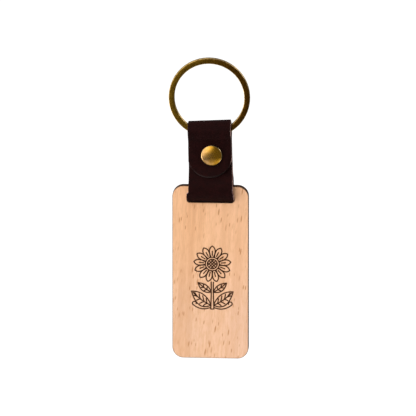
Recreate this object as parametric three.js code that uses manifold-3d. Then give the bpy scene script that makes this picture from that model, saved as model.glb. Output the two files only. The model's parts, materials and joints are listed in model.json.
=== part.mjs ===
// A keychain: a flat split ring, a riveted leather loop strap and a slotted plywood tag.
// Millimetres, +Z up, X across the tag, the front faces -Y. The keychain hangs straight down.
// The origin is the inside top of the split ring, where a hook or a nail carries it.
//
// The strap is one strip of leather. From the rounded tongue in front it runs up over the
// ring, down the back, behind the tag's bridge, forward through the slot, up in front of
// the bridge, and ends between the tongue and the back layer. One rivet holds all three.

import * as THREE from "three";
import { mergeVertices } from "three/addons/utils/BufferGeometryUtils.js";
import Module from "manifold-3d";

const wasm = await Module();
wasm.setup();

// ---------------------------------------------------------------- driving dimensions

const ringOuterDiameter = 32;
const wireWidth = 2.3;        // flat wire, across the coil
const wireThickness = 0.95;   // flat wire, along the ring's axis
const wireChamfer = 0.2;
const coilGap = 0.05;         // between the two turns
const jogAngle = 24;          // degrees of arc in which the wire crosses from turn to turn
const wireEndGap = 1;         // degrees between a wire end and the crossing

const strapWidth = 17;
const strapOffset = 0.2;      // on the ring, the strap sits this far to the right
const strapLean = 0.55;       // and this much further right by the tag loop's axis
const leatherThickness = 1.4;
const layerGap = 0.1;         // between stacked layers
const ringLoopClearance = 0.08;
const loopSpacing = 24;       // from the ring loop's axis down to the tag loop's axis
const tagLoopInnerRadius = 3.2;
const rivetDrop = 9.5;        // from the ring loop's axis down to the rivet
const rivetOffset = 1.05;     // to the right: the rivet was set by hand, a little off the middle
const flatReach = 4.5;        // the layers lie flat this far above and below the rivet
const tongueReach = 9.7;      // from the rivet down to the tongue's tip
const tongueRadius = 9.4;
const endReach = 4.4;         // the hidden end stops this far above the rivet

const capDiameter = 8.4;
const capHeight = 1.9;
const capShell = 0.3;
const capRimHeight = 0.5;
const capLipRadius = 3.3;     // the opening under the cap
const capRoll = 0.15;         // the chamfer where the rim turns under
const capGap = 0.05;          // between a cap and the leather
const flangeRadius = 3.7;
const flangeThickness = 0.3;
const postRadius = 1.15;
const postTipChamfer = 0.2;
const socketInnerRadius = 1.2;
const socketOuterRadius = 1.5;
const strapHoleRadius = 1.6;

const tagWidth = 30;
const tagHeight = 70;
const tagThickness = 3;
const veneerThickness = 0.6;
const tagCornerRadius = 4.4;
const tagOffset = 0.5;        // the tag hangs this far to the right, in its slot's side play
const bridgeHeight = 3.4;     // from the slot up to the tag's top edge
const slotWidth = 18.7;
const slotHeight = 3.3;
const slotCornerRadius = 1.2;

const latheSegments = 40;
const arcSegments = 10;       // in each rounded corner of the tag
const weldDistance = 1e-4;
const tiny = 1e-9;

// ---------------------------------------------------------------- derived places

const ringOuterRadius = ringOuterDiameter / 2;
const ringInnerRadius = ringOuterRadius - wireWidth;
const ringMiddleRadius = ringOuterRadius - wireWidth / 2;
const ringCentreZ = -ringInnerRadius;
const coilPitch = wireThickness + coilGap;

// Where the strap wraps the ring, the wire spans from its inner edge at the strap's right side
// to its outer edge at the bottom. The strap swings about the middle of that span.
const strapRightX = strapOffset + strapWidth / 2;
const wireTopZ = ringCentreZ - Math.sqrt(ringInnerRadius ** 2 - strapRightX ** 2);
const wireBottomZ = ringCentreZ - ringOuterRadius;
const ringLoopZ = (wireTopZ + wireBottomZ) / 2;
const wireSweepRadius = Math.hypot((wireTopZ - wireBottomZ) / 2, (coilPitch + wireThickness) / 2);
const ringLoopInnerRadius = wireSweepRadius + ringLoopClearance;

const tagLoopZ = ringLoopZ - loopSpacing;
const rivetZ = ringLoopZ - rivetDrop;
const layerPitch = leatherThickness + layerGap;
const stackHalf = layerPitch + leatherThickness / 2;

// ---------------------------------------------------------------- materials

const antiqueBrass = new THREE.MeshStandardMaterial({ color: 0x6b4f1c, roughness: 0.42, metalness: 1 });
const rivetBrass = new THREE.MeshStandardMaterial({ color: 0xa88342, roughness: 0.3, metalness: 1 });
const brownLeather = new THREE.MeshStandardMaterial({ color: 0x23140f, roughness: 0.7, metalness: 0 });
const beechFace = new THREE.MeshStandardMaterial({ color: 0xecba92, roughness: 0.6, metalness: 0 });
const beechCore = new THREE.MeshStandardMaterial({ color: 0x3a2417, roughness: 0.8, metalness: 0 });

// ---------------------------------------------------------------- geometry helpers

// A closed solid through a row of sections, each a convex ring of points, capped at both ends.
function loft(sections) {
  const count = sections[0].length;
  const positions = sections.flat().flatMap((point) => [point.x, point.y, point.z]);
  const indices = [];
  for (let row = 0; row + 1 < sections.length; row += 1) {
    for (let side = 0; side < count; side += 1) {
      const a = row * count + side;
      const b = row * count + ((side + 1) % count);
      indices.push(a, b, b + count, a, b + count, a + count);
    }
  }
  const last = (sections.length - 1) * count;
  for (let side = 1; side + 1 < count; side += 1) {
    indices.push(0, side + 1, side);
    indices.push(last, last + side, last + side + 1);
  }
  const geometry = new THREE.BufferGeometry();
  geometry.setAttribute("position", new THREE.Float32BufferAttribute(positions, 3));
  geometry.setIndex(indices);
  return geometry;
}

function toManifold(geometry) {
  const bare = new THREE.BufferGeometry();
  bare.setAttribute("position", geometry.getAttribute("position"));
  bare.setIndex(geometry.getIndex());
  const merged = mergeVertices(bare, weldDistance);
  return new wasm.Manifold(new wasm.Mesh({
    numProp: 3,
    vertProperties: new Float32Array(merged.getAttribute("position").array),
    triVerts: new Uint32Array(merged.getIndex().array),
  }));
}

function fromManifold(solid) {
  const mesh = solid.getMesh();
  const geometry = new THREE.BufferGeometry();
  geometry.setAttribute("position", new THREE.BufferAttribute(mesh.vertProperties, 3));
  geometry.setIndex(new THREE.BufferAttribute(mesh.triVerts, 1));
  return geometry;
}

function namedMesh(name, geometry, material) {
  const mesh = new THREE.Mesh(geometry, material);
  mesh.name = name;
  return mesh;
}

// ---------------------------------------------------------------- split ring

// The flat wire makes almost two turns. The crossing from the front turn to the back turn
// and both wire ends are at the bottom of the ring, inside the leather loop.
function splitRing() {
  const stepsPerTurn = 72;
  const crossing = THREE.MathUtils.degToRad(jogAngle);
  const endGap = THREE.MathUtils.degToRad(wireEndGap);
  const bottom = -Math.PI / 2;
  const start = bottom + crossing / 2 + endGap;
  const end = start + 4 * Math.PI - crossing - 2 * endGap;
  const crossingStart = bottom + 2 * Math.PI - crossing / 2;
  const steps = Math.round(stepsPerTurn * (end - start) / (2 * Math.PI));

  const halfWidth = wireWidth / 2;
  const halfThick = wireThickness / 2;
  const outline = [
    [-halfWidth, -halfThick + wireChamfer], [-halfWidth + wireChamfer, -halfThick],
    [halfWidth - wireChamfer, -halfThick], [halfWidth, -halfThick + wireChamfer],
    [halfWidth, halfThick - wireChamfer], [halfWidth - wireChamfer, halfThick],
    [-halfWidth + wireChamfer, halfThick], [-halfWidth, halfThick - wireChamfer],
  ];
  const sections = [];
  for (let step = 0; step <= steps; step += 1) {
    const angle = start + (end - start) * step / steps;
    const crossed = THREE.MathUtils.smoothstep(angle, crossingStart, crossingStart + crossing);
    const y = (crossed - 0.5) * coilPitch;
    sections.push(outline.map(([across, along]) => new THREE.Vector3(
      (ringMiddleRadius + across) * Math.cos(angle),
      y + along,
      (ringMiddleRadius + across) * Math.sin(angle),
    )));
  }
  const mesh = namedMesh("split_ring", loft(sections), antiqueBrass);
  mesh.position.z = ringCentreZ;
  return mesh;
}

// ---------------------------------------------------------------- leather strap

// The strap's middle line in side view: x is the model's y, y is the model's z.
function strapCurves() {
  const ringRadius = ringLoopInnerRadius + leatherThickness / 2;
  const tagRadius = tagLoopInnerRadius + leatherThickness / 2;
  const flatTop = rivetZ + flatReach;
  const flatBottom = rivetZ - flatReach;

  const point = (y, z) => new THREE.Vector2(y, z);
  const line = (y, fromZ, toZ) => new THREE.LineCurve(point(y, fromZ), point(y, toZ));
  const ease = (fromY, fromZ, toY, toZ) => new THREE.CubicBezierCurve(
    point(fromY, fromZ), point(fromY, (fromZ + toZ) / 2),
    point(toY, (fromZ + toZ) / 2), point(toY, toZ),
  );
  return {
    rise: ease(-tagRadius, tagLoopZ, 0, flatBottom),
    frontFlat: line(-layerPitch, flatBottom, flatTop),
    frontEase: ease(-layerPitch, flatTop, -ringRadius, ringLoopZ),
    overRing: new THREE.EllipseCurve(0, ringLoopZ, ringRadius, ringRadius, Math.PI, 0, true),
    backEase: ease(ringRadius, ringLoopZ, layerPitch, flatTop),
    backFlat: line(layerPitch, flatTop, flatBottom),
    backFall: ease(layerPitch, flatBottom, tagRadius, tagLoopZ),
    underBridge: new THREE.EllipseCurve(0, tagLoopZ, tagRadius, tagRadius, 0, -Math.PI, true),
    middleFlat: line(0, flatBottom, rivetZ + endReach),
  };
}

// Points and front-to-back normals along the strap, from the tongue's tip to the hidden end.
function strapStations() {
  const curves = strapCurves();
  const finePoints = 60;
  const tipSearchStep = 0.001;
  const stations = [];
  const follow = (curve, from, offset) => {
    for (let step = 0; step <= finePoints; step += 1) {
      const t = from + (1 - from) * step / finePoints;
      const tangent = curve.getTangent(t);
      const normal = new THREE.Vector2(-tangent.y, tangent.x);
      const place = curve.getPoint(t).addScaledVector(normal, offset);
      const before = stations.at(-1);
      const gap = before ? place.distanceTo(before.place) : 0;
      if (!before || gap > weldDistance) {
        stations.push({ place, normal, length: (before?.length ?? 0) + gap });
      }
    }
  };
  // The tongue lies on the rising layer, down to the tip.
  const tipZ = rivetZ - tongueReach;
  let tip = 0;
  while (curves.rise.getPoint(tip).y < tipZ) tip += tipSearchStep;
  follow(curves.rise, tip, layerPitch);
  follow(curves.frontFlat, 0, 0);
  follow(curves.frontEase, 0, 0);
  follow(curves.overRing, 0, 0);
  follow(curves.backEase, 0, 0);
  follow(curves.backFlat, 0, 0);
  follow(curves.backFall, 0, 0);
  follow(curves.underBridge, 0, 0);
  follow(curves.rise, 0, 0);
  follow(curves.middleFlat, 0, 0);
  return stations;
}

function stationAt(stations, length) {
  const next = Math.max(1, stations.findIndex((station) => station.length >= length - tiny));
  const [a, b] = [stations[next - 1], stations[next]];
  const t = (length - a.length) / (b.length - a.length);
  return {
    place: a.place.clone().lerp(b.place, t),
    normal: a.normal.clone().lerp(b.normal, t).normalize(),
  };
}

function leatherStrap() {
  const stations = strapStations();
  const total = stations.at(-1).length;
  const sectionSpacing = 0.6;
  const tongueSteps = 12;
  const bluntAngle = 0.06;  // radians: the tip ends in a short straight edge
  const sideAngle = Math.asin(strapWidth / 2 / tongueRadius);
  const tongueLength = tongueRadius * (1 - Math.cos(sideAngle));

  const lengths = [];
  for (let step = 0; step < tongueSteps; step += 1) {
    const angle = bluntAngle + (sideAngle - bluntAngle) * step / tongueSteps;
    lengths.push(tongueRadius * (1 - Math.cos(angle)));
  }
  const bodySteps = Math.round((total - tongueLength) / sectionSpacing);
  for (let step = 0; step <= bodySteps; step += 1) {
    lengths.push(tongueLength + (total - tongueLength) * step / bodySteps);
  }

  const sections = lengths.map((length) => {
    const { place, normal } = stationAt(stations, length);
    const depth = Math.min(length, tongueLength);
    const halfWidth = Math.sqrt(tongueRadius ** 2 - (tongueRadius - depth) ** 2);
    const lean = strapOffset + strapLean * (ringLoopZ - place.y) / loopSpacing;
    const corner = (x, side) => new THREE.Vector3(
      lean + x,
      place.x + side * normal.x * leatherThickness / 2,
      place.y + side * normal.y * leatherThickness / 2,
    );
    return [corner(halfWidth, 1), corner(halfWidth, -1), corner(-halfWidth, -1), corner(-halfWidth, 1)];
  });

  const holeLength = 4 * stackHalf;
  const hole = new THREE.CylinderGeometry(strapHoleRadius, strapHoleRadius, holeLength, latheSegments);
  hole.translate(rivetOffset, 0, rivetZ);
  const strap = toManifold(loft(sections)).subtract(toManifold(hole));
  return namedMesh("leather_strap", fromManifold(strap), brownLeather);
}

// ---------------------------------------------------------------- rivet

// A closed turned shape around the rivet's axis. A profile point is (radius, height above
// the leather).
function turned(name, profile, material) {
  const points = profile.map(([radius, height]) => new THREE.Vector2(radius, height));
  return namedMesh(name, new THREE.LatheGeometry(points, latheSegments), material);
}

// Points up a rivet cap's dome, from its rim almost to its crown.
function domePoints(radius, height) {
  const steps = 8;
  const points = [];
  for (let step = 0; step < steps; step += 1) {
    const angle = Math.PI / 2 * step / steps;
    points.push([radius * Math.cos(angle), capRimHeight + height * Math.sin(angle)]);
  }
  return points;
}

// A domed shell with its rim rolled in under the flange that it grips.
function rivetCap(name) {
  const radius = capDiameter / 2;
  const innerRadius = radius - capShell;
  const domeHeight = capHeight - capRimHeight;
  return turned(name, [
    [capLipRadius, 0],
    [radius - capRoll, 0],
    [radius, capRoll],
    ...domePoints(radius, domeHeight),
    [0, capHeight],
    [0, capHeight - capShell],
    ...domePoints(innerRadius, domeHeight - capShell).reverse(),
    [innerRadius, capShell],
    [capLipRadius, capShell],
    [capLipRadius, 0],
  ], rivetBrass);
}

function rivet() {
  const flangeLow = capShell + capGap;
  const flangeHigh = flangeLow + flangeThickness;
  const capSpacing = 2 * (stackHalf + capGap);
  const postTip = -capSpacing - flangeHigh;
  const post = turned("rivet_post", [
    [0, postTip], [postRadius - postTipChamfer, postTip],
    [postRadius, postTip + postTipChamfer], [postRadius, flangeLow],
    [flangeRadius, flangeLow], [flangeRadius, flangeHigh], [0, flangeHigh],
  ], rivetBrass);
  const socket = turned("rivet_socket", [
    [socketInnerRadius, -capSpacing], [socketOuterRadius, -capSpacing],
    [socketOuterRadius, flangeLow], [flangeRadius, flangeLow],
    [flangeRadius, flangeHigh], [socketInnerRadius, flangeHigh], [socketInnerRadius, -capSpacing],
  ], rivetBrass);

  const front = new THREE.Group();
  front.add(rivetCap("rivet_cap"), post);
  front.position.set(rivetOffset, -stackHalf - capGap, rivetZ);
  front.rotation.x = Math.PI;

  const back = new THREE.Group();
  back.add(rivetCap("rivet_back_cap"), socket);
  back.position.set(rivetOffset, stackHalf + capGap, rivetZ);

  const assembly = new THREE.Group();
  assembly.add(front, back);
  return assembly;
}

// ---------------------------------------------------------------- plywood tag

function roundedRectangle(path, left, right, bottom, top, radius) {
  path.moveTo(left + radius, bottom);
  path.absarc(right - radius, bottom + radius, radius, -Math.PI / 2, 0, false);
  path.absarc(right - radius, top - radius, radius, 0, Math.PI / 2, false);
  path.absarc(left + radius, top - radius, radius, Math.PI / 2, Math.PI, false);
  path.absarc(left + radius, bottom + radius, radius, Math.PI, Math.PI * 1.5, false);
  path.closePath();
  return path;
}

// One ply, between two depths. Heights are measured from the middle of the bridge.
function tagPly(name, frontY, backY, material) {
  const top = bridgeHeight / 2;
  const outline = roundedRectangle(
    new THREE.Shape(), -tagWidth / 2, tagWidth / 2, top - tagHeight, top, tagCornerRadius,
  );
  const slotTop = top - bridgeHeight;
  outline.holes.push(roundedRectangle(
    new THREE.Path(), -slotWidth / 2, slotWidth / 2, slotTop - slotHeight, slotTop, slotCornerRadius,
  ));
  const geometry = new THREE.ExtrudeGeometry(outline, {
    depth: backY - frontY, bevelEnabled: false, curveSegments: arcSegments,
  });
  geometry.rotateX(Math.PI / 2);
  geometry.translate(0, backY, 0);
  return namedMesh(name, geometry, material);
}

function woodenTag() {
  const half = tagThickness / 2;
  const inner = half - veneerThickness;
  const tag = new THREE.Group();
  tag.add(
    tagPly("tag_front_veneer", -half, -inner, beechFace),
    tagPly("tag_core", -inner, inner, beechCore),
    tagPly("tag_back_veneer", inner, half, beechFace),
  );
  tag.position.set(tagOffset, 0, tagLoopZ);
  return tag;
}

// ---------------------------------------------------------------- assembly

const keychain = new THREE.Group();
keychain.add(splitRing(), leatherStrap(), rivet(), woodenTag());

export default keychain;
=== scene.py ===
"""The keychain's looks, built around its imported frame.

Everything is in metres, in the frame's axes: +Z up, X across the tag, the front faces -Y.
The mesh functions work in millimetres and make_piece() turns them into metres.
"""

import json
import math

import bmesh
import bpy
import numpy as np
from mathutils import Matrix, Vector, noise
from mathutils.geometry import delaunay_2d_cdt


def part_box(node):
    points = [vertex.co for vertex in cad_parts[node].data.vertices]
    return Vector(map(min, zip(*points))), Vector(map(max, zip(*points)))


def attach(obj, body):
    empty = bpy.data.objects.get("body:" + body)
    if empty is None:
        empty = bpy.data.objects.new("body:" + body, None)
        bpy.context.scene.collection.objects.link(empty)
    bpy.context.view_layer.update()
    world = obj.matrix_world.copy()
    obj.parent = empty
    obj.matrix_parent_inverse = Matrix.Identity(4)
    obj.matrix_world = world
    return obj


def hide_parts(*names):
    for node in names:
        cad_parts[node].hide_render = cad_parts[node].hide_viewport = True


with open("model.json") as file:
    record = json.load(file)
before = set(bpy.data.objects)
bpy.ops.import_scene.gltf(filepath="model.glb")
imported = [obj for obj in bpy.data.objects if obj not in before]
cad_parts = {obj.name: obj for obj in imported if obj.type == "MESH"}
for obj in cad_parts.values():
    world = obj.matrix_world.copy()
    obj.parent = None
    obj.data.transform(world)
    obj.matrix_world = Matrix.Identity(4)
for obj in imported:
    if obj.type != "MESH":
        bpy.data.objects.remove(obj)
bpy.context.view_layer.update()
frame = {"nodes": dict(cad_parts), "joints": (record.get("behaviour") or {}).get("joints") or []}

MM = 0.001


# ---------------------------------------------------------------- places from the frame, in mm


def box_mm(node):
    """A node's box at rest, in millimetres."""
    low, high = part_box(node)
    return np.array(low) / MM, np.array(high) / MM


joint_z = {joint["name"]: joint["pos_m"][2] / MM for joint in frame["joints"]}
RING_LOOP_Z = joint_z["strap_swing"]
TAG_LOOP_Z = joint_z["tag_swing"]

ring_low, ring_high = box_mm("split_ring")
strap_low, strap_high = box_mm("leather_strap")
cap_low, cap_high = box_mm("rivet_cap")
rear_cap_low, _ = box_mm("rivet_back_cap")
tag_low, tag_high = box_mm("tag_core")

RIVET_X = (cap_low[0] + cap_high[0]) / 2
RIVET_Z = (cap_low[2] + cap_high[2]) / 2

# The same driving dimensions as the solid model has, where its boxes don't give them.
WIRE_WIDTH = 2.3
COIL_GAP = 0.05
CROSSING_ANGLE = math.radians(24)
WIRE_END_GAP = math.radians(1)
STRAP_WIDTH = 17.0
LEATHER = 1.4
LAYER_PITCH = 1.5
FLAT_REACH = 4.5
TONGUE_REACH = 9.7
END_REACH = 4.4
HOLE_RADIUS = 1.6
CAP_SHELL = 0.3
CAP_RIM = 0.5
CAP_ROLL = 0.25
CAP_LIP_RADIUS = 3.3
TAG_CORNER = 4.4
BRIDGE = 3.4
SLOT_WIDTH = 18.7
SLOT_HEIGHT = 3.3
SLOT_CORNER = 1.2


# ---------------------------------------------------------------- shader nodes


def fill(tree, socket, value):
    """Links another node's output to a socket, or sets the socket to a plain value."""
    if isinstance(value, bpy.types.NodeSocket):
        tree.links.new(value, socket)
    else:
        socket.default_value = value


def add_node(tree, kind, inputs=(), **settings):
    """Adds a node with its settings, and fills its inputs."""
    made = tree.nodes.new(kind)
    for key, value in settings.items():
        setattr(made, key, value)
    for key, value in dict(inputs).items():
        fill(tree, made.inputs[key], value)
    return made


def colour(value):
    """Adds alpha to a plain colour, and leaves anything else as it is."""
    return (*value, 1.0) if isinstance(value, tuple) and len(value) == 3 else value


class Nodes:
    """Builds one material's node tree around its Principled BSDF, in millimetre coordinates."""

    def __init__(self, name):
        self.material = bpy.data.materials.new(name)
        self.material.use_nodes = True
        self.tree = self.material.node_tree
        self.shader = self.tree.nodes["Principled BSDF"]
        place = self.node("ShaderNodeTexCoord").outputs["Object"]
        self.place = self.stretch(place, (1 / MM, 1 / MM, 1 / MM))

    def node(self, kind, inputs=(), **settings):
        return add_node(self.tree, kind, inputs, **settings)

    def stretch(self, vector, scale):
        return self.vector_math("MULTIPLY", vector, scale).outputs[0]

    def vector_math(self, operation, a, b=(0, 0, 0)):
        return self.node("ShaderNodeVectorMath", {0: a, 1: b}, operation=operation)

    def turned(self, vector, degrees_about_y):
        rotation = (0, math.radians(degrees_about_y), 0)
        return self.node("ShaderNodeMapping", {"Vector": vector, "Rotation": rotation}).outputs[0]

    def noise(self, vector, scale=1.0, detail=3.0, roughness=0.5):
        inputs = {"Vector": vector, "Scale": scale, "Detail": detail, "Roughness": roughness}
        return self.node("ShaderNodeTexNoise", inputs).outputs["Fac"]

    def ramp(self, value, low, high, to_low=0.0, to_high=1.0):
        made = self.node("ShaderNodeMapRange", {
            "Value": value, "From Min": low, "From Max": high, "To Min": to_low, "To Max": to_high,
        }, interpolation_type="SMOOTHSTEP")
        return made.outputs["Result"]

    def math(self, operation, a, b=0.5):
        return self.node("ShaderNodeMath", {0: a, 1: b}, operation=operation).outputs[0]

    def mix(self, factor, a, b):
        inputs = {0: factor, 6: colour(a), 7: colour(b)}
        return self.node("ShaderNodeMix", inputs, data_type="RGBA").outputs[2]

    def attribute(self, name):
        return self.node("ShaderNodeAttribute", attribute_name=name).outputs["Fac"]

    def set(self, **sockets):
        for key, value in sockets.items():
            fill(self.tree, self.shader.inputs[key.replace("_", " ")], colour(value))

    def bump(self, height, strength, distance_mm):
        inputs = {"Height": height, "Strength": strength, "Distance": distance_mm * MM}
        self.set(Normal=self.node("ShaderNodeBump", inputs).outputs["Normal"])


# ---------------------------------------------------------------- camera, light and floor

CAMERA_AZIMUTH = math.radians(4)
CAMERA_ELEVATION = math.radians(14.7)
VIEW_WIDTH = 0.1635
LENS = 1000.0
SENSOR = 36.0
LOOK_AT = Vector((-0.00055, 0.0, -0.05854))
KEY_PLACE = (-0.7, -1.1, 0.6)
KEY_SIZE = 1.2
KEY_POWER = 4.35
FLOOR_Z = -0.26
FLOOR_RADIUS = 0.8
FLOOR_SIDES = 96
FLOOR_FADE = (0.25, 0.6)   # the shares of its radius between which the floor fades out
BACKDROP_STRENGTH = 1.1


def add_camera():
    """A long lens, far off: the view is almost parallel."""
    data = bpy.data.cameras.new("camera")
    data.lens = LENS
    data.sensor_width = SENSOR
    data.clip_end = 50
    camera = bpy.data.objects.new("camera", data)
    back = Vector((
        math.sin(CAMERA_AZIMUTH) * math.cos(CAMERA_ELEVATION),
        -math.cos(CAMERA_AZIMUTH) * math.cos(CAMERA_ELEVATION),
        math.sin(CAMERA_ELEVATION),
    ))
    camera.location = LOOK_AT + back * (VIEW_WIDTH * LENS / SENSOR)
    camera.rotation_mode = "QUATERNION"
    camera.rotation_quaternion = (-back).to_track_quat("-Z", "Y")
    bpy.context.scene.collection.objects.link(camera)
    bpy.context.scene.camera = camera


def add_softbox(name, place, size, power):
    """A square light that faces the keychain."""
    data = bpy.data.lights.new(name, "AREA")
    data.shape = "SQUARE"
    data.size = size
    data.energy = power
    light = bpy.data.objects.new(name, data)
    light.location = place
    aim = LOOK_AT - Vector(place)
    light.rotation_mode = "QUATERNION"
    light.rotation_quaternion = aim.to_track_quat("-Z", "Y")
    bpy.context.scene.collection.objects.link(light)


# Each glow of the room: its direction, the cosines where it starts and is full, its strength.
ROOM_AMBIENT = 0.25
ROOM_GLOWS = [
    ((-0.70, -0.50, 0.50), 0.50, 0.85, 2.2),
    ((0.45, 0.75, 0.5), 0.55, 0.95, 0.6),
    ((0.77, 0.27, 0.58), 0.90, 0.97, 4.2),
    ((-0.85, 0.28, -0.45), 0.78, 0.94, 5.5),
]


def add_world():
    """A dim room with soft glows from the left and from behind; the camera sees plain white."""
    world = bpy.data.worlds.new("studio")
    world.use_nodes = True
    tree = world.node_tree
    tree.nodes.clear()
    direction = add_node(tree, "ShaderNodeTexCoord").outputs["Generated"]
    light = ROOM_AMBIENT
    for toward, start, full, strength in ROOM_GLOWS:
        cosine = add_node(tree, "ShaderNodeVectorMath", {
            0: direction, 1: Vector(toward).normalized(),
        }, operation="DOT_PRODUCT").outputs["Value"]
        glow = add_node(tree, "ShaderNodeMapRange", {
            "Value": cosine, "From Min": start, "From Max": full, "To Max": strength,
        }, interpolation_type="SMOOTHSTEP").outputs["Result"]
        light = add_node(tree, "ShaderNodeMath", {0: light, 1: glow}, operation="ADD").outputs[0]
    white = (1, 1, 1, 1)
    room, plain = (
        add_node(tree, "ShaderNodeBackground", {"Color": white, "Strength": strength}).outputs[0]
        for strength in (light, BACKDROP_STRENGTH)
    )
    seen = add_node(tree, "ShaderNodeLightPath").outputs["Is Camera Ray"]
    mix = add_node(tree, "ShaderNodeMixShader", {"Fac": seen, 1: room, 2: plain}).outputs[0]
    add_node(tree, "ShaderNodeOutputWorld", {"Surface": mix})
    bpy.context.scene.world = world


def add_floor():
    """A pale round floor, which fades out towards its rim."""
    mesh = bpy.data.meshes.new("floor")
    turns = [2 * math.pi * side / FLOOR_SIDES for side in range(FLOOR_SIDES)]
    rim = [(FLOOR_RADIUS * math.cos(a), FLOOR_RADIUS * math.sin(a), FLOOR_Z) for a in turns]
    mesh.from_pydata(rim, [], [tuple(range(FLOOR_SIDES))])
    floor = bpy.data.objects.new("floor", mesh)
    bpy.context.scene.collection.objects.link(floor)
    n = Nodes("pale_floor")
    distance = n.vector_math("LENGTH", n.stretch(n.place, (MM, MM, 0))).outputs["Value"]
    fade = n.ramp(distance, *(share * FLOOR_RADIUS for share in FLOOR_FADE), 1.0, 0.0)
    n.set(Base_Color=(0.92, 0.92, 0.92), Roughness=0.9, Alpha=fade)
    mesh.materials.append(n.material)


add_camera()
add_world()
add_floor()
add_softbox("key_softbox", KEY_PLACE, KEY_SIZE, KEY_POWER)
bpy.context.scene.view_settings.view_transform = "Standard"


# ---------------------------------------------------------------- materials


def wood_material(name, seed):
    """Beech: soft bands along the grain, short dark flecks that lean a little, scorched edges."""
    n = Nodes(name)
    shifted = n.vector_math("ADD", n.place, (seed * 31.0, 0, seed * 17.0)).outputs[0]
    grain = n.turned(shifted, -3)
    bands = n.noise(n.stretch(grain, (0.3, 0.3, 0.012)), detail=4.0, roughness=0.6)
    fibres = n.noise(n.stretch(grain, (3.2, 3.2, 0.16)), detail=3.0)
    streaks = n.noise(n.stretch(grain, (1.3, 1.3, 0.28)), detail=3.0, roughness=0.6)
    blotches = n.noise(n.stretch(grain, (0.09, 0.09, 0.035)), detail=1.0)
    across_tag, _, height_on_tag = n.node("ShaderNodeSeparateXYZ", {0: n.place}).outputs
    paler = n.ramp(height_on_tag, TAG_CENTRE[1] + 20, TAG_CENTRE[1] - 30)
    dark_band = n.mix(paler, (0.66, 0.345, 0.172), (0.642, 0.377, 0.235))
    pale_band = n.mix(paler, (0.78, 0.445, 0.243), (0.737, 0.471, 0.315))
    tone = n.mix(n.ramp(bands, 0.35, 0.65, 0.05, 1.0), dark_band, pale_band)
    tone = n.mix(n.ramp(blotches, 0.35, 0.65, 0.0, 0.4), tone, (0.71, 0.40, 0.22))
    tone = n.mix(n.ramp(fibres, 0.42, 0.75, 0.0, 0.4), tone, (0.58, 0.32, 0.17))
    tone = n.mix(n.ramp(streaks, 0.4, 0.7, 0.0, 0.5), tone, (0.60, 0.315, 0.155))
    tone = n.mix(n.ramp(across_tag, TAG_CENTRE[0] - 16, TAG_CENTRE[0] + 16), tone,
                 n.stretch(tone, (1.065, 1.10, 1.17)))

    flecks = None
    for lean, cell_x, cell_z, reach in ((-8, 1.35, 6.6, 0.27), (-6, 1.0, 4.6, 0.25)):
        leaned = n.turned(shifted, lean)
        cells = n.node("ShaderNodeTexVoronoi", {
            "Vector": n.stretch(leaned, (1 / cell_x, 0.2, 1 / cell_z)),
            "Scale": 1.0, "Randomness": 1.0,
        })
        chance = n.node("ShaderNodeSeparateColor", {0: cells.outputs["Color"]}).outputs[0]
        present = n.ramp(chance, 0.4, 0.8)
        spot = n.math("MULTIPLY", n.ramp(cells.outputs["Distance"], reach, reach * 0.5), present)
        flecks = spot if flecks is None else n.math("MAXIMUM", flecks, spot)
    tone = n.mix(n.math("MULTIPLY", flecks, 0.9), tone, (0.46, 0.21, 0.082))

    scorch = n.attribute("scorch")
    tone = n.mix(n.ramp(scorch, 0.0, 1.0, 0.0, 0.8), tone, (0.16, 0.065, 0.03))
    height = n.math("SUBTRACT", n.math("MULTIPLY", fibres, 0.6), flecks)
    n.set(Base_Color=tone, Roughness=n.ramp(fibres, 0.3, 0.7, 0.55, 0.68), Specular_IOR_Level=0.22)
    n.bump(height, 0.35, 0.05)
    return n.material


def char_material(name, dark, light):
    """A laser-cut edge: burnt dark, with fine striations straight through the sheet."""
    n = Nodes(name)
    stripes = n.noise(n.stretch(n.place, (4.5, 0.25, 4.5)), detail=2.0)
    soot = n.noise(n.stretch(n.place, (0.6, 0.6, 0.6)), detail=4.0)
    amount = n.math("MULTIPLY", n.ramp(stripes, 0.4, 0.7), n.ramp(soot, 0.4, 0.7))
    n.set(Base_Color=n.mix(amount, dark, light), Roughness=n.ramp(soot, 0.3, 0.7, 0.85, 0.97),
          Specular_IOR_Level=0.05)
    n.bump(stripes, 0.6, 0.06)
    return n.material


def grain_material():
    """The dyed grain side: very dark brown, with fine pebbling and a few soft creases."""
    n = Nodes("leather_grain")
    cells = n.node("ShaderNodeTexVoronoi", {"Vector": n.place, "Scale": 2.4})
    pebbles = n.ramp(cells.outputs["Distance"], 0.05, 0.6)
    pores = n.noise(n.place, 6.0, 2.0)
    creases = n.noise(n.stretch(n.place, (0.35, 1.0, 1.6)), detail=4.0, roughness=0.65)
    mottle = n.noise(n.place, 0.45, 5.0, 0.6)
    tone = n.mix(n.ramp(mottle, 0.35, 0.7), (0.0098, 0.0018, 0.0016), (0.0170, 0.0031, 0.0029))
    tone = n.mix(n.math("MULTIPLY", pebbles, 0.45), tone, (0.0062, 0.0013, 0.0012))
    # The pale rim along the edges is rubbed wear and, towards the right, a painted highlight.
    worn = n.attribute("worn")
    tone = n.mix(n.ramp(worn, 0.0, 1.0, 0.0, 0.9), tone, (0.055, 0.036, 0.033))
    height = n.math("ADD", n.math("MULTIPLY", pebbles, -0.6), n.math("MULTIPLY", pores, 0.25))
    height = n.math("ADD", height, n.math("MULTIPLY", n.ramp(creases, 0.48, 0.6), 0.8))
    n.set(Base_Color=tone, Roughness=n.ramp(mottle, 0.3, 0.7, 0.55, 0.7), Specular_IOR_Level=0.03)
    n.bump(height, 0.5, 0.06)
    return n.material


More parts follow.
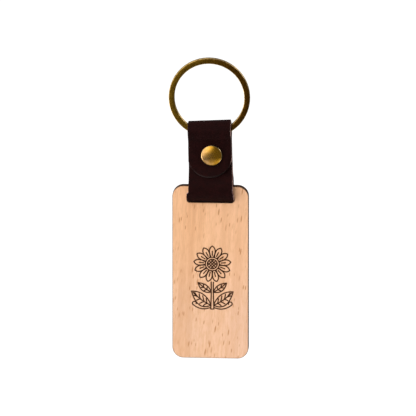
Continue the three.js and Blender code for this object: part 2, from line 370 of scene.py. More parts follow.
def flesh_material():
    """The back of the leather: undyed suede fibres."""
    n = Nodes("leather_flesh")
    nap = n.noise(n.place, 3.0, 5.0, 0.7)
    tone = n.mix(n.ramp(nap, 0.35, 0.7), (0.07, 0.034, 0.022), (0.19, 0.105, 0.072))
    n.set(Base_Color=tone, Roughness=0.92, Specular_IOR_Level=0.08)
    n.bump(nap, 0.7, 0.12)
    return n.material


def cut_material():
    """The cut edge: raw pinkish-tan fibre between two dyed skins."""
    n = Nodes("leather_cut_edge")
    fibre = n.noise(n.stretch(n.place, (5.0, 2.0, 5.0)), detail=4.0, roughness=0.65)
    patch = n.noise(n.place, 0.5, 3.0)
    tone = n.mix(n.ramp(fibre, 0.3, 0.7), (0.27, 0.15, 0.13), (0.50, 0.33, 0.29))
    tone = n.mix(n.ramp(patch, 0.42, 0.6, 0.0, 0.85), tone, (0.10, 0.040, 0.030))
    tone = n.mix(n.attribute("dyed"), tone, (0.022, 0.012, 0.011))
    n.set(Base_Color=tone, Roughness=0.88, Specular_IOR_Level=0.12)
    n.bump(fibre, 0.8, 0.1)
    return n.material


def bronze_material():
    """The ring's antique plating: dark olive-brown, mottled, rubbed paler along its corners, and
    darkened towards the right by painted shade.
    """
    n = Nodes("antique_bronze")
    mottle = n.noise(n.place, 0.9, 4.0, 0.6)
    specks = n.noise(n.place, 4.5, 3.0, 0.6)
    across = n.node("ShaderNodeSeparateXYZ", {0: n.place}).outputs[0]
    # Painted shade: the plating's colour darkens from the ring's left towards its right, broken up
    # by the mottling.
    patina = n.ramp(n.math("ADD", across, n.math("MULTIPLY", mottle, 8.0)), -10.0, 17.0)
    bright = n.mix(patina, (0.22, 0.12, 0.010), (0.115, 0.046, 0.003))
    dull = n.mix(patina, (0.125, 0.065, 0.005), (0.060, 0.025, 0.002))
    tone = n.mix(n.ramp(mottle, 0.35, 0.68), dull, bright)
    tone = n.mix(n.ramp(specks, 0.55, 0.72, 0.0, 0.6), tone, (0.065, 0.034, 0.005))
    rubbed = n.math("MULTIPLY", n.attribute("worn"), n.ramp(mottle, 0.3, 0.6, 0.35, 0.9))
    tone = n.mix(rubbed, tone, (0.55, 0.40, 0.17))
    n.set(Base_Color=tone, Metallic=1.0, Roughness=n.ramp(specks, 0.35, 0.7, 0.28, 0.46))
    n.bump(n.math("ADD", mottle, n.math("MULTIPLY", specks, 0.4)), 0.35, 0.08)
    return n.material


def brass_material():
    """The rivet's antique brass: a bright tone on the left and a darker one towards the upper right,
    which are painted light and painted shade broken up by patina patches; a paler rim, partly rubbed
    and partly a painted highlight, brightest towards the upper right; fine scratches.
    """
    n = Nodes("antique_brass")
    patina = n.noise(n.place, 0.55, 4.0, 0.6)
    specks = n.noise(n.place, 3.5, 3.0, 0.6)
    scratches = n.noise(n.stretch(n.turned(n.place, 35), (14.0, 1.0, 0.7)), detail=2.0)
    offset = n.vector_math("SUBTRACT", n.place, (RIVET_X, 0, RIVET_Z)).outputs[0]
    side = n.vector_math("DOT_PRODUCT", offset, (0.8, 0, 0.25)).outputs["Value"]
    # Painted shade: this mask darkens the brass towards the upper right, broken up by patina
    # patches.
    painted_shade_and_tarnish = n.ramp(n.math("ADD", side, n.math("MULTIPLY", patina, 3.0)), -1.6, 3.4)
    # The bright tone is a painted lit copy of the brass for its left side, the dull tone a painted
    # shaded copy.
    bright = n.mix(n.ramp(patina, 0.38, 0.66), (0.39, 0.222, 0.086), (0.32, 0.176, 0.054))
    dull = n.mix(n.ramp(patina, 0.38, 0.66), (0.42, 0.21, 0.016), (0.34, 0.165, 0.010))
    tone = n.mix(painted_shade_and_tarnish, bright, dull)
    tone = n.mix(n.ramp(specks, 0.56, 0.72, 0.0, 0.5), tone, (0.20, 0.11, 0.012))
    from_axis = n.vector_math("LENGTH", n.stretch(offset, (1, 0, 1))).outputs["Value"]
    # The rim is painted paler, most towards the upper right: partly rubbed wear, partly a painted
    # highlight where the rim catches the light.
    rubbed = n.math("MULTIPLY", n.ramp(from_axis, 3.8, 4.1), n.ramp(side, -2.0, 2.0, 0.3, 0.95))
    tone = n.mix(rubbed, tone, (0.60, 0.46, 0.25))
    gloss = n.ramp(patina, 0.35, 0.7, 0.17, 0.28)
    rough = n.math("ADD", gloss, n.ramp(specks, 0.5, 0.75, 0.0, 0.12))
    n.set(Base_Color=tone, Metallic=1.0, Roughness=rough)
    n.bump(n.math("ADD", n.math("MULTIPLY", scratches, 0.25), specks), 0.2, 0.04)
    return n.material


# ---------------------------------------------------------------- mesh helpers


def make_piece(name, body, replaced, vertices, faces, materials, face_materials=None,
               attributes=(), sharp_degrees=45, merge_mm=None):
    """A mesh piece from points in millimetres, which rides on a body in place of CAD nodes."""
    mesh = bpy.data.meshes.new(name)
    mesh.from_pydata([tuple(np.asarray(v, float) * MM) for v in vertices], [], faces)
    for material in materials:
        mesh.materials.append(material)
    if face_materials is not None:
        mesh.polygons.foreach_set("material_index", np.asarray(face_materials, np.int32))
    for key, values in dict(attributes).items():
        layer = mesh.attributes.new(key, "FLOAT", "POINT")
        layer.data.foreach_set("value", np.asarray(values, np.float32))
    shape = bmesh.new()
    shape.from_mesh(mesh)
    if merge_mm:
        bmesh.ops.remove_doubles(shape, verts=shape.verts, dist=merge_mm * MM)
    bmesh.ops.recalc_face_normals(shape, faces=shape.faces)
    shape.to_mesh(mesh)
    shape.free()
    mesh.shade_smooth()
    mesh.set_sharp_from_angle(angle=math.radians(sharp_degrees))
    mesh.validate()
    piece = bpy.data.objects.new(name, mesh)
    bpy.context.scene.collection.objects.link(piece)
    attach(piece, body)
    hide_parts(*replaced)
    return piece


def grid_faces(rows, columns, start=0, wrap=False):
    """Quads over a grid of points stored row by row."""
    faces = []
    for row in range(rows - 1):
        for column in range(columns if wrap else columns - 1):
            a = start + row * columns + column
            b = start + row * columns + (column + 1) % columns
            faces.append((a, b, b + columns, a + columns))
    return faces


def smoothstep(low, high, value):
    """0 below low, 1 above high and an even blend between."""
    t = np.clip((np.asarray(value, float) - low) / (high - low), 0, 1)
    return t * t * (3 - 2 * t)


def wobble(x, y, z, size, seed=0.0):
    """Smooth noise from -1 to 1 for each point, with features about size millimetres across."""
    places = np.stack(np.broadcast_arrays(x, y, z), axis=-1).reshape(-1, 3) / size + seed
    values = [noise.noise(Vector(place)) for place in places]
    return np.array(values).reshape(np.broadcast(x, y, z).shape)


# ---------------------------------------------------------------- split ring


WIRE_CORNER = 0.26
WIRE_CROWN = 0.05
OUTER_WEAR = 0.75   # the outer corners are rubbed less than the inner ones
RING_STEPS_PER_TURN = 200
CORNER_STEPS = 4
CROWN_STEPS = 6
END_ROUND_STEPS = 3
END_SHRINK = 0.1


def wire_section(thickness):
    """Flat wire with a slight crown: (across, along, wear) points round its section."""
    corner = WIRE_CORNER
    crown = WIRE_CROWN
    half_width = WIRE_WIDTH / 2
    half_thick = thickness / 2
    points = []
    for quarter in range(4):
        side_x = 1 if quarter in (0, 3) else -1
        side_y = 1 if quarter in (0, 1) else -1
        for step in range(CORNER_STEPS + 1):
            angle = math.pi / 2 * (quarter + step / CORNER_STEPS)
            points.append((
                side_x * (half_width - corner) + corner * math.cos(angle),
                side_y * (half_thick - crown - corner) + corner * math.sin(angle),
                math.sin(math.pi * step / CORNER_STEPS) * (OUTER_WEAR if side_x > 0 else 1.0),
            ))
        if quarter in (0, 2):
            for step in range(1, CROWN_STEPS):
                across = side_x * (half_width - corner) * (1 - 2 * step / CROWN_STEPS)
                rise = crown * (1 - (across / (half_width - corner)) ** 2)
                points.append((across, side_y * (half_thick - crown + rise), 0.0))
    return points


def build_ring():
    """One wire in almost two turns, which crosses from the front to the rear at the bottom."""
    total = ring_high[1] - ring_low[1]
    thickness = (total - COIL_GAP) / 2
    pitch = thickness + COIL_GAP
    centre_z = (ring_low[2] + ring_high[2]) / 2
    middle_radius = (ring_high[2] - ring_low[2]) / 2 - WIRE_WIDTH / 2
    bottom = -math.pi / 2
    start = bottom + CROSSING_ANGLE / 2 + WIRE_END_GAP
    end = start + 4 * math.pi - CROSSING_ANGLE - 2 * WIRE_END_GAP
    crossing = bottom + 2 * math.pi - CROSSING_ANGLE / 2
    steps = round(RING_STEPS_PER_TURN * (end - start) / (2 * math.pi))
    section = wire_section(thickness)

    vertices, worn = [], []
    for step in range(steps + 1):
        angle = start + (end - start) * step / steps
        from_end = min(step, steps - step)
        shrink = 1 - END_SHRINK * max(0, END_ROUND_STEPS - from_end) / END_ROUND_STEPS
        y = (float(smoothstep(crossing, crossing + CROSSING_ANGLE, angle)) - 0.5) * pitch
        for across, along, wear in section:
            radius = middle_radius + across * shrink
            vertices.append((
                radius * math.cos(angle), y + along * shrink, centre_z + radius * math.sin(angle),
            ))
            worn.append(wear)
    count = len(section)
    faces = grid_faces(steps + 1, count, wrap=True)
    faces.append(tuple(range(count)))
    faces.append(tuple(steps * count + side for side in reversed(range(count))))
    make_piece(
        "ring_wire", "ring", ["split_ring"], vertices, faces, [bronze_material()],
        attributes={"worn": worn}, sharp_degrees=60,
    )


# ---------------------------------------------------------------- leather strap


def ease(start, end, count=160):
    """A curve between two (y, z) points that leaves and arrives upright."""
    t = np.linspace(0, 1, count)[:, None]
    middle = (start[1] + end[1]) / 2
    corners = np.array([start, (start[0], middle), (end[0], middle), end], float)
    return ((1 - t) ** 3 * corners[0] + 3 * (1 - t) ** 2 * t * corners[1]
            + 3 * (1 - t) * t ** 2 * corners[2] + t ** 3 * corners[3])


def half_circle(centre_z, radius, start, end, count=240):
    """Points (y, z) round a loop, from one angle to another."""
    angle = np.linspace(start, end, count)
    return np.stack([radius * np.cos(angle), centre_z + radius * np.sin(angle)], axis=1)


def directions(points):
    """The unit direction of a curve at each of its points."""
    tangent = np.gradient(points, axis=0)
    return tangent / np.linalg.norm(tangent, axis=1)[:, None]


class StrapPath:
    """The strap's middle line in side view, from the tongue's tip to the hidden end."""

    def __init__(self):
        ring_radius = strap_high[2] - RING_LOOP_Z - LEATHER / 2
        tag_radius = TAG_LOOP_Z - strap_low[2] - LEATHER / 2
        top, bottom = RIVET_Z + FLAT_REACH, RIVET_Z - FLAT_REACH
        rise = ease((-tag_radius, TAG_LOOP_Z), (0, bottom))
        along = directions(rise)
        outward = np.stack([-along[:, 1], along[:, 0]], axis=1)
        shown = rise[:, 1] > RIVET_Z - TONGUE_REACH
        tongue = (rise + outward * LAYER_PITCH)[shown]
        runs = [
            tongue,
            ease((-LAYER_PITCH, top), (-ring_radius, RING_LOOP_Z)),
            half_circle(RING_LOOP_Z, ring_radius, math.pi, 0),
            ease((ring_radius, RING_LOOP_Z), (LAYER_PITCH, top)),
            ease((LAYER_PITCH, bottom), (tag_radius, TAG_LOOP_Z)),
            half_circle(TAG_LOOP_Z, tag_radius, 0, -math.pi),
            rise,
            np.array([(0, RIVET_Z + END_REACH)]),
        ]
        points = np.concatenate(runs)
        kept = np.r_[True, np.linalg.norm(np.diff(points, axis=0), axis=1) > 1e-4]
        points = points[kept]
        steps = np.r_[0, np.cumsum(np.linalg.norm(np.diff(points, axis=0), axis=1))]
        self.length = steps[-1]
        even = np.linspace(0, self.length, 2400)
        self.even = even
        self.points = np.stack([np.interp(even, steps, points[:, i]) for i in (0, 1)], axis=1)
        self.tangents = directions(self.points)

    def at(self, lengths):
        """(y, z, outward y, outward z) at distances along the strap."""
        y, z, ty, tz = (
            np.interp(lengths, self.even, values)
            for values in (*self.points.T, *self.tangents.T)
        )
        return y, z, -tz, ty


EDGE_INSETS = [0.0, 0.03, 0.08, 0.15, 0.23, 0.33, 0.5, 0.75]


def spaced(low, high, spacing):
    """Edge rows close together at both ends, and even rows between."""
    inner_low, inner_high = low + EDGE_INSETS[-1], high - EDGE_INSETS[-1]
    count = max(2, round((inner_high - inner_low) / spacing) + 1)
    inner = np.linspace(inner_low, inner_high, count)
    before = [low + inset for inset in EDGE_INSETS[:-1]]
    after = [high - inset for inset in reversed(EDGE_INSETS[:-1])]
    return np.array([*before, *inner, *after])


def rounding(inset, radius):
    """How far a rounded edge drops below the surface at a distance in from the edge."""
    inside = np.clip(radius - inset, 0, radius)
    return radius - np.sqrt(radius ** 2 - inside ** 2)


# The strap's outline.
TONGUE_RADIUS = 8.7      # nearly half the strap's width, so rounder than the solid model's tongue
TONGUE_GAIN = 1.04       # how much longer than a round end the tongue's end is
TONGUE_SKEW = 0.55       # the tongue is cut a little askew: its right end starts higher
TONGUE_FADE = 18.0       # the mesh rows follow the tongue's end over this length
MIDDLE_AT_RING = 0.2
MIDDLE_AT_TAG = 0.76
WIDTH_GAIN = 0.25
SLOT_FLARE = (0.72, 0.26)   # how far the left and right edges spread where the strap fills the slot
SLOT_FLARE_REACH = 4.0   # how far in from each edge that spreading starts
EDGE_SWAY = 0.07         # how far the long edges wander

# The strap's surface.
COLUMN_SPACING = 0.45
ROW_SPACING = 0.4
FOLD_SAG = 0.9           # how far the fold over the ring sinks at the strap's left edge
FOLD_RISE = 0.05         # how far it rises at the right edge
SWELL = 0.2              # how far the layers swell in a ring round the rivet
SWELL_INSIDE = (4.2, 6.6)    # the distances from the rivet between which the swelling rises
SWELL_OUTSIDE = (7.5, 11.0)  # and between which it fades
UNEVENNESS = 0.05
GRAIN_ROUND = 0.28
FLESH_ROUND = 0.12
CUT_SLANT = 0.2          # how far the knife's slanted cut leaves the raw edge showing on the right
CUT_SLANT_REACH = 1.5
FRAY = 0.03
CUT_ROWS = 5             # rows of faces through the leather's thickness

# The strap's edge colours: the tongue's edge is dyed, and the long edges are raw except beside
# the rivet, where they are dressed darker.
DYED_REACH = (8.0, 10.5)       # the distances from the tongue's tip between which the dye ends
DYED_HALF_WIDTH = (6.0, 8.3)   # it ends towards the tongue's corners too
DRESSED_BELOW = (-5.5, -2.5)   # the heights about the rivet between which the dressing starts
DRESSED_ABOVE = (7.5, 9.5)     # and between which it ends
DRESSED_DYE = 0.75
WORN_WIDTH = 0.2               # the grain side is painted paler along its edges: rubbed wear, and a painted highlight that is stronger towards the right


def strap_middle(z):
    """The strap's middle line at a height: it hangs a little further right towards the tag."""
    share = (z - RING_LOOP_Z) / (TAG_LOOP_Z - RING_LOOP_Z)
    return MIDDLE_AT_RING + (MIDDLE_AT_TAG - MIDDLE_AT_RING) * share


def strap_half_width(z):
    """Half the strap's width at a height: the cut widens a little towards the tag."""
    share = (z - RING_LOOP_Z) / (TAG_LOOP_Z - RING_LOOP_Z)
    return STRAP_WIDTH / 2 + WIDTH_GAIN * share


def strap_grid(path):
    """Points over the flat strip: places across and along it, and how far in from its edges."""
    half_width = STRAP_WIDTH / 2
    columns = spaced(-half_width, half_width, COLUMN_SPACING)
    rows = spaced(0, path.length, ROW_SPACING)
    row_grid, across = np.meshgrid(rows, columns, indexing="ij")

    # The rows near the tongue follow its rounded end, and straighten out further up.
    bulge = TONGUE_GAIN * (TONGUE_RADIUS - np.sqrt(TONGUE_RADIUS ** 2 - across ** 2))
    bulge += TONGUE_SKEW * across / half_width
    bulge -= bulge.min()
    fade = 1 - smoothstep(0, TONGUE_FADE, row_grid)
    lengths = row_grid + bulge * fade

    tilt = np.sqrt(1 - (across / TONGUE_RADIUS) ** 2)
    from_tongue = row_grid * (tilt + (1 - tilt) * (1 - fade))
    from_end = path.length - row_grid
    from_side = half_width - np.abs(across)
    return across, lengths, np.minimum(np.minimum(from_tongue, from_end), from_side)


def strap_relief(across, y, z, inset):
    """How far the grain side stands above its plain place."""
    # The layers swell a little round the rivet, which pulls them together.
    distance = np.hypot(across - RIVET_X, z - RIVET_Z)
    swell = smoothstep(*SWELL_INSIDE, distance) * (1 - smoothstep(*SWELL_OUTSIDE, distance))
    outer_layer = np.abs(y) > LAYER_PITCH / 2
    relief = SWELL * (swell * outer_layer)
    relief += UNEVENNESS * wobble(across, y, z, 4.0) * smoothstep(0, 1.5, inset)
    folded = smoothstep(0, strap_high[2] - RING_LOOP_Z, z - RING_LOOP_Z)
    rightward = across / STRAP_WIDTH + 0.5
    return relief + folded * (rightward * FOLD_RISE - (1 - rightward) * FOLD_SAG)


def strap_x(across, y, z):
    """Where the strip's points lie from left to right, with its lean, its sway and its flare."""
    half_width = STRAP_WIDTH / 2
    sway = EDGE_SWAY * wobble(np.sign(across) * 5, y, z, 3.0) * np.abs(across) / half_width
    x = across * strap_half_width(z) / half_width + sway + strap_middle(z)
    slot_top = SLOT_CENTRE[1] + SLOT_HALF[1]
    in_slot = 1 - smoothstep(slot_top + 0.8, slot_top + 1.3, z)
    x -= SLOT_FLARE[0] * in_slot * (1 - smoothstep(0, SLOT_FLARE_REACH, half_width + across))
    x += SLOT_FLARE[1] * in_slot * (1 - smoothstep(0, SLOT_FLARE_REACH, half_width - across))
    return x


def sheet_rim(rows, columns):
    """The points round a sheet's border, in order, as indices into its grid."""
    last_row, last_column = rows - 1, columns - 1
    loop = [(0, column) for column in range(last_column)]
    loop += [(row, last_column) for row in range(last_row)]
    loop += [(last_row, column) for column in range(last_column, 0, -1)]
    loop += [(row, 0) for row in range(last_row, 0, -1)]
    return [row * columns + column for row, column in loop]


def cut_edge(vertices, rim, count):
    """The frayed wall between the outer and the inner surface: its new points and its faces."""
    walls = []
    levels = [rim]
    for level in range(1, CUT_ROWS):
        share = level / CUT_ROWS
        between = vertices[rim] * (1 - share) + vertices[[i + count for i in rim]] * share
        fray = FRAY * wobble(between[:, 0], between[:, 1] * 3, between[:, 2], 0.5, seed=7.0)
        between[:, 0] += fray * np.sign(between[:, 0] - strap_middle(between[:, 2]))
        walls.append(between)
        first = len(vertices) + (level - 1) * len(rim)
        levels.append(range(first, first + len(rim)))
    levels.append([i + count for i in rim])
    faces = []
    for upper, lower in zip(levels, levels[1:]):
        for i in range(len(rim)):
            j = (i + 1) % len(rim)
            faces.append((upper[i], lower[i], lower[j], upper[j]))
    return walls, faces


def edge_colours(vertices, at_tip, across, inset):
    """How far each point's edge is dyed, and how far its grain side is painted pale: rubbed wear,
    with a painted highlight stronger towards the right.
    """
    above_rivet = vertices[:, 2] - RIVET_Z
    dressed = smoothstep(*DRESSED_BELOW, above_rivet)
    dressed *= 1 - smoothstep(*DRESSED_ABOVE, above_rivet)
    from_middle = np.abs(vertices[:, 0] - strap_middle(vertices[:, 2]))
    dyed = at_tip * (1 - smoothstep(*DYED_HALF_WIDTH, from_middle))
    dyed = np.maximum(dyed, DRESSED_DYE * dressed * (1 - at_tip))

    count = inset.size
    rightward = across.reshape(-1) / STRAP_WIDTH + 0.5
    worn = np.zeros(len(vertices))
    worn[:count] = (1 - smoothstep(0, WORN_WIDTH, inset)).reshape(-1) * (0.85 - 0.45 * dyed[:count])
    # Painted highlight: the pale rim is made stronger towards the strap's right edge, where the raw
    # edge catches the light.
    worn[:count] *= 0.6 + 0.8 * rightward
    return dyed, worn


def build_strap():
    """The folded leather strip: its grain side, its flesh side and the cut edge between them."""
    path = StrapPath()
    across, lengths, inset = strap_grid(path)
    y, z, out_y, out_z = path.at(lengths)
    x = strap_x(across, y, z)
    slant = CUT_SLANT * (1 - smoothstep(0, CUT_SLANT_REACH, STRAP_WIDTH / 2 - across))

    def surface(height, moved_in=0.0):
        places = np.stack([x - moved_in, y + out_y * height, z + out_z * height], axis=-1)
        return places.reshape(-1, 3)

    relief = strap_relief(across, y, z, inset)
    outer = surface(LEATHER / 2 + relief - rounding(inset, GRAIN_ROUND), slant)
    inner = surface(-LEATHER / 2 + rounding(inset, FLESH_ROUND))
    vertices = np.concatenate([outer, inner])
    outer_faces = grid_faces(*across.shape)
    inner_faces = [tuple(reversed(face)) for face in grid_faces(*across.shape, start=len(outer))]
    rim = sheet_rim(*across.shape)
    walls, wall_faces = cut_edge(vertices, rim, len(outer))
    vertices = np.concatenate([vertices, *walls])

    at_tip = (1 - smoothstep(*DYED_REACH, lengths)).reshape(-1)
    at_tip = np.concatenate([at_tip, at_tip, np.tile(at_tip[rim], len(walls))])
    dyed, worn = edge_colours(vertices, at_tip, across, inset)
    strap = make_piece(
        "strap_leather", "strap", ["leather_strap"], vertices,
        outer_faces + inner_faces + wall_faces,
        [grain_material(), flesh_material(), cut_material()],
        [0] * len(outer_faces) + [1] * len(inner_faces) + [2] * len(wall_faces),
        attributes={"worn": worn, "dyed": dyed}, sharp_degrees=50,
    )
    punch_hole(strap)


def punch_hole(strap):
    """Cuts the rivet's hole through the three layers."""
    sides = 32
    reach = 6.0
    turns = [2 * math.pi * i / sides for i in range(sides)]
    rim = [(RIVET_X + HOLE_RADIUS * math.cos(a), RIVET_Z + HOLE_RADIUS * math.sin(a)) for a in turns]
    mesh = bpy.data.meshes.new("punch")
    points = [(x * MM, y * MM, z * MM) for y in (-reach, reach) for x, z in rim]
    faces = grid_faces(2, sides, wrap=True)
    faces += [tuple(reversed(range(sides))), tuple(range(sides, 2 * sides))]
    mesh.from_pydata(points, [], faces)
    punch = bpy.data.objects.new("punch", mesh)
    bpy.context.scene.collection.objects.link(punch)
    cut = strap.modifiers.new("rivet_hole", "BOOLEAN")
    cut.operation = "DIFFERENCE"
    cut.object = punch
    cut.solver = "EXACT"
    bpy.context.view_layer.update()
    evaluated = strap.evaluated_get(bpy.context.evaluated_depsgraph_get())
    punched = bpy.data.meshes.new_from_object(evaluated)
    strap.modifiers.clear()
    strap.data = punched
    bpy.data.objects.remove(punch)


# ---------------------------------------------------------------- rivet caps


CAP_SEGMENTS = 96
DOME_STEPS = 24
ROLL_STEPS = 6
DENT_DEPTH = 0.018
DENT_SIZE = 1.7


def build_cap(name, node, base_y, outward, material):
    """A domed cap with a rolled rim, with the faint unevenness of a hand-set rivet."""
    low, high = box_mm(node)
    radius = (high[0] - low[0]) / 2
    height = high[1] - low[1]
    dome = height - CAP_RIM

    profile = [(CAP_LIP_RADIUS, 0.0)]
    for step in range(ROLL_STEPS):
        angle = -math.pi / 2 * (1 - step / ROLL_STEPS)
        inward = CAP_ROLL * (1 - math.cos(angle))
        profile.append((radius - inward, CAP_ROLL * (1 + math.sin(angle))))
    for step in range(DOME_STEPS):
        angle = math.pi / 2 * step / DOME_STEPS
        profile.append((radius * math.cos(angle), CAP_RIM + dome * math.sin(angle)))
    outside = len(profile)
    for step in range(DOME_STEPS - 1, -1, -1):
        angle = math.pi / 2 * step / DOME_STEPS
        profile.append((
            (radius - CAP_SHELL) * math.cos(angle), CAP_RIM + (dome - CAP_SHELL) * math.sin(angle),
        ))
    profile.append((CAP_LIP_RADIUS, CAP_SHELL))

    vertices = []
    for index, (across, up) in enumerate(profile):
        for segment in range(CAP_SEGMENTS):
            turn = 2 * math.pi * segment / CAP_SEGMENTS
            x, z = across * math.cos(turn), across * math.sin(turn)
            dent = 0.0
            if index < outside and up > CAP_RIM:
                dent = DENT_DEPTH * noise.noise(Vector((x / DENT_SIZE, z / DENT_SIZE, base_y)))
            vertices.append((RIVET_X + x, base_y + outward * (up + dent), RIVET_Z + z))
    faces = grid_faces(outside, CAP_SEGMENTS, wrap=True)
    faces += grid_faces(len(profile) - outside, CAP_SEGMENTS, outside * CAP_SEGMENTS, wrap=True)
    last = (len(profile) - 1) * CAP_SEGMENTS
    around = [(segment, (segment + 1) % CAP_SEGMENTS) for segment in range(CAP_SEGMENTS)]
    faces += [(last + a, last + b, b, a) for a, b in around]
    for ring, up in ((outside - 1, height), (outside, height - CAP_SHELL)):
        pole = len(vertices)
        first = ring * CAP_SEGMENTS
        vertices.append((RIVET_X, base_y + outward * up, RIVET_Z))
        faces += [(first + a, first + b, pole) for a, b in around]
    make_piece(name, "strap", [node], vertices, faces, [material], sharp_degrees=60)


# ---------------------------------------------------------------- tag outlines


def rounded_outline(centre, half, corner, arc_points=14):
    """A rounded rectangle, counterclockwise in (x, z)."""
    points = []
    for quarter, (sx, sz) in enumerate(((1, -1), (1, 1), (-1, 1), (-1, -1))):
        for step in range(arc_points + 1):
            angle = math.pi / 2 * (quarter - 1 + step / arc_points)
            points.append((
                centre[0] + sx * (half[0] - corner) + corner * math.cos(angle),
                centre[1] + sz * (half[1] - corner) + corner * math.sin(angle),
            ))
    return points


TAG_CENTRE = ((tag_low[0] + tag_high[0]) / 2, (tag_low[2] + tag_high[2]) / 2)
TAG_HALF = ((tag_high[0] - tag_low[0]) / 2, (tag_high[2] - tag_low[2]) / 2)
SLOT_CENTRE = (TAG_CENTRE[0], tag_high[2] - BRIDGE - SLOT_HEIGHT / 2)
SLOT_HALF = (SLOT_WIDTH / 2, SLOT_HEIGHT / 2)


def tag_outline(inset):
    half = (TAG_HALF[0] - inset, TAG_HALF[1] - inset)
    return rounded_outline(TAG_CENTRE, half, TAG_CORNER - inset)


def slot_outline(inset):
    half = (SLOT_HALF[0] + inset, SLOT_HALF[1] + inset)
    return rounded_outline(SLOT_CENTRE, half, SLOT_CORNER + inset)


SLOT_SCORCH_CUT = 0.4   # the scorched rim round the slot is this much narrower


def edge_distance(x, z):
    """How far a point of the face is from the nearest cut edge; the slot counts as further."""

    def outside(centre, half, corner):
        dx = abs(x - centre[0]) - half[0] + corner
        dz = abs(z - centre[1]) - half[1] + corner
        return math.hypot(max(dx, 0), max(dz, 0)) + min(max(dx, dz), 0) - corner

    from_slot = outside(SLOT_CENTRE, SLOT_HALF, SLOT_CORNER) + SLOT_SCORCH_CUT
    return min(-outside(TAG_CENTRE, TAG_HALF, TAG_CORNER), from_slot)


# ---------------------------------------------------------------- engraved ornament

# A daisy with its leaves, drawn in single lines, in millimetres about the ornament's middle.
LINE_WIDTH = 0.36
LINE_DEPTH = 0.22
SCORCH_REACH = 0.22
ORNAMENT_AT = (TAG_CENTRE[0] + 0.76, tag_low[2] + 32.8)
FLOWER_Z = 5.6
PETAL_TIP = 7.3
DISC_RADIUS = 2.75


def curve(start, control, end):
    """A quadratic curve through a plane, as evenly stepped points."""
    start, control, end = (np.array(point, float) for point in (start, control, end))
    span = np.linalg.norm(control - start) + np.linalg.norm(end - control)
    t = np.linspace(0, 1, max(3, round(span / 0.45)))[:, None]
    return (1 - t) ** 2 * start + 2 * (1 - t) * t * control + t ** 2 * end


def arc(centre, radius, start, end):
    angle = np.linspace(start, end, max(4, round(abs(end - start) * radius / 0.4)))
    return np.array(centre) + radius * np.stack([np.cos(angle), np.sin(angle)], axis=1)


def circle(centre, radius):
    return [arc(centre, radius, 0, math.pi), arc(centre, radius, math.pi, 2 * math.pi)]


def polar(radius, angle):
    return (radius * math.cos(angle), FLOWER_Z + radius * math.sin(angle))


def flower():
    strokes = circle((0, FLOWER_Z), DISC_RADIUS) + circle((0, FLOWER_Z), 1.95)
    for offset in (-0.85, 0.0, 0.85):
        reach = math.sqrt(1.7 ** 2 - offset ** 2)
        for turn in (math.pi / 4, -math.pi / 4):
            along = np.array([math.cos(turn), math.sin(turn)])
            across = np.array([-along[1], along[0]])
            middle = np.array([0, FLOWER_Z]) + across * offset
            strokes.append(curve(middle - along * reach, middle, middle + along * reach))
    petals = 13
    for petal in range(petals):
        middle = math.pi / 2 + 2 * math.pi * petal / petals
        half = math.pi / petals
        tip = polar(PETAL_TIP, middle)
        for side in (-1, 1):
            base = polar(DISC_RADIUS + 0.1, middle + side * half * 0.72)
            belly = polar(PETAL_TIP - 0.9, middle + side * half * 1.32)
            strokes.append(curve(base, belly, tip))
        strokes.append(curve(*(polar(radius, middle) for radius in (DISC_RADIUS + 0.75, 4.4, 5.2))))
    return strokes


def leaf(base, tip, over, under, veins):
    """A leaf from its base to its tip: two edges, a midrib and veins on both sides."""
    base, tip = np.array(base, float), np.array(tip, float)
    rib_control = (np.array(over) + np.array(under)) / 2
    strokes = [curve(base, over, tip), curve(base, under, tip)]
    rib = curve(base, rib_control, base * 0.08 + tip * 0.92)
    strokes.append(rib)
    for edge_control in (over, under):
        edge = curve(base, edge_control, tip)
        for vein in range(1, veins + 1):
            share = vein / (veins + 1.4)
            root = rib[round(share * (len(rib) - 1))]
            end = edge[round((share + 0.17) * (len(edge) - 1))]
            end = root + (end - root) * 0.74
            strokes.append(curve(root, (root + end) / 2 + (tip - base) * 0.02, end))
    return strokes


def ornament():
    """All strokes of the ornament, in the tag's own (x, z) millimetres."""
    strokes = flower()
    stem_top = FLOWER_Z - PETAL_TIP - 0.1
    foot = -12.7
    for side in (-0.42, 0.42):
        strokes.append(curve((side, stem_top), (side * 0.8, -7), (side * 1.5, foot)))
    strokes.append(curve((-0.63, foot), (0, foot - 0.15), (0.63, foot)))
    half_leaves = leaf((0.5, -11.2), (8.2, -5.6), (2.6, -5.4), (6.0, -13.8), 4)
    half_leaves += leaf((0.45, -5.9), (5.6, -2.1), (1.4, -2.4), (4.6, -6.6), 2)
    half_leaves.append(curve((0.9, -12.2), (4.4, -13.6), (7.4, -11.2)))
    half_leaves.append(arc((7.1, -10.5), 0.75, -1.2, 3.4))
    for stroke in half_leaves:
        strokes.append(stroke)
        strokes.append(stroke * np.array([-1, 1]))
    return [stroke + np.array(ORNAMENT_AT) for stroke in strokes]


def stroke_polygon(stroke, half_width):
    """The outline of a stroke with round ends, counterclockwise."""
    along = directions(stroke)
    across = np.stack([-along[:, 1], along[:, 0]], axis=1)
    right = list(stroke - across * half_width)
    left = list(stroke + across * half_width)
    caps = []
    for place, heading in ((stroke[-1], along[-1]), (stroke[0], -along[0])):
        first = math.atan2(heading[1], heading[0]) - math.pi / 2
        turns = [first + math.pi * step / 5 for step in range(1, 5)]
        caps.append([place + half_width * np.array([math.cos(a), math.sin(a)]) for a in turns])
    return [*right, *caps[0], *reversed(left), *caps[1]]


def stroke_distance(points, strokes):
    """Each point's distance to the nearest stroke's middle line."""
    nearest = np.full(len(points), 1e9)
    for stroke in strokes:
        for start, end in zip(stroke, stroke[1:]):
            line = end - start
            share = np.clip((points - start) @ line / (line @ line), 0, 1)
            gap = np.linalg.norm(points - start - share[:, None] * line, axis=1)
            nearest = np.minimum(nearest, gap)
    return nearest


